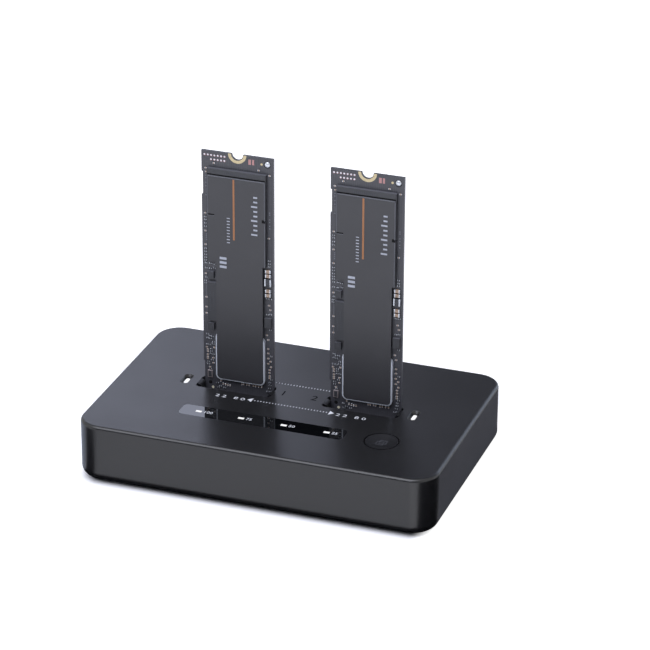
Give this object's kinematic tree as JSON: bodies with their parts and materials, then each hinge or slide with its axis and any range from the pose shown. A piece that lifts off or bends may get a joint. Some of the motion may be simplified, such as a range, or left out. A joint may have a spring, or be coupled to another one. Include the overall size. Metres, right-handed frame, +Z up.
{
  "type": "ssd docking station",
  "caption": "Flat two-bay docking station with drive cards standing upright in its slots, a lit progress strip and a round copy button",
  "frame": {"origin": "on the surface the feet rest on, under the middle of the case", "axes": "+X along the long side to the right, +Y to the rear with its ports, +Z up"},
  "size_m": [0.108, 0.0714, 0.0913],
  "materials": {
    "board_laminate": "solder-masked glass laminate",
    "button_plastic": "satin black ABS",
    "can_aluminium": "drawn aluminium can",
    "capacitor_ceramic": "tan barium titanate ceramic",
    "card_laminate": "black solder-masked glass laminate",
    "case_plastic": "satin black moulded ABS",
    "chip_epoxy": "black moulding compound",
    "contact_gold": "gold-plated copper",
    "ferrite": "sintered ferrite",
    "foot_rubber": "matt black rubber",
    "label_film": "printed dark grey film label",
    "lamp_white": "white lamp package",
    "lid_nickel": "nickel-plated copper lid",
    "light_guide": "clear acrylic, lit white from below",
    "pin_brass": "nickel-plated brass",
    "port_steel": "nickel-plated steel",
    "screw_steel": "zinc-plated steel, black oxide",
    "socket_plastic": "black LCP",
    "switch_plastic": "black nylon",
    "tray_plastic": "matt black moulded ABS",
    "window_gloss": "mirror gloss black acrylic"
  },
  "bodies": {
    "dock": {"base_tray": "tray_plastic", "bay_1_front_socket": "socket_plastic", "bay_1_light_pipe": "light_guide", "bay_1_rear_socket": "socket_plastic", "bay_2_front_socket": "socket_plastic", "bay_2_light_pipe": "light_guide", "bay_2_rear_socket": "socket_plastic", "board_screws": "screw_steel", "bridge_chip_1": "chip_epoxy", "bridge_chip_2": "chip_epoxy", "can_capacitors": "can_aluminium", "case_screws": "screw_steel", "copy_controller_chip": "chip_epoxy", "copy_switch_body": "switch_plastic", "data_port_shell": "port_steel", "data_port_tongue": "socket_plastic", "foot_front_left": "foot_rubber", "foot_front_right": "foot_rubber", "foot_rear_left": "foot_rubber", "foot_rear_right": "foot_rubber", "indicator_leds": "lamp_white", "inductors": "ferrite", "main_board": "board_laminate", "power_inlet_body": "socket_plastic", "power_inlet_pin": "pin_brass", "power_switch_body": "switch_plastic", "progress_light_guide": "light_guide", "progress_window": "window_gloss", "top_shell": "case_plastic"},
    "drive_1": {"drive_1_board": "card_laminate", "drive_1_cache_chip": "chip_epoxy", "drive_1_capacitors": "capacitor_ceramic", "drive_1_controller": "lid_nickel", "drive_1_edge_chip": "chip_epoxy", "drive_1_edge_contacts": "contact_gold", "drive_1_filter": "ferrite", "drive_1_label": "label_film", "drive_1_memory_lower": "chip_epoxy", "drive_1_memory_upper": "chip_epoxy", "drive_1_mount_ring": "contact_gold", "drive_1_power_chips": "chip_epoxy"},
    "drive_2": {"drive_2_board": "card_laminate", "drive_2_cache_chip": "chip_epoxy", "drive_2_capacitors": "capacitor_ceramic", "drive_2_controller": "lid_nickel", "drive_2_edge_chip": "chip_epoxy", "drive_2_edge_contacts": "contact_gold", "drive_2_filter": "ferrite", "drive_2_label": "label_film", "drive_2_memory_lower": "chip_epoxy", "drive_2_memory_upper": "chip_epoxy", "drive_2_mount_ring": "contact_gold", "drive_2_power_chips": "chip_epoxy"},
    "copy_button": {"copy_button": "button_plastic", "copy_switch_plunger": "switch_plastic"},
    "power_button": {"power_button": "button_plastic"}
  },
  "joints": [
    {"name": "drive_1_lift", "type": "slide", "parent": "dock", "child": "drive_1", "axis": [0, 0, 1], "range_m": [0, 0.025]},
    {"name": "drive_2_lift", "type": "slide", "parent": "dock", "child": "drive_2", "axis": [0, 0, 1], "range_m": [0, 0.025]},
    {"name": "copy_button_press", "type": "slide", "parent": "dock", "child": "copy_button", "axis": [0, 0, -1], "range_m": [0, 0.0005], "stiffness_N_per_m": 2500, "springref_m": -0.0002},
    {"name": "power_button_press", "type": "slide", "parent": "dock", "child": "power_button", "axis": [0, -1, 0], "range_m": [0, 0.0015], "stiffness_N_per_m": 1200, "springref_m": -0.0005}
  ]
}
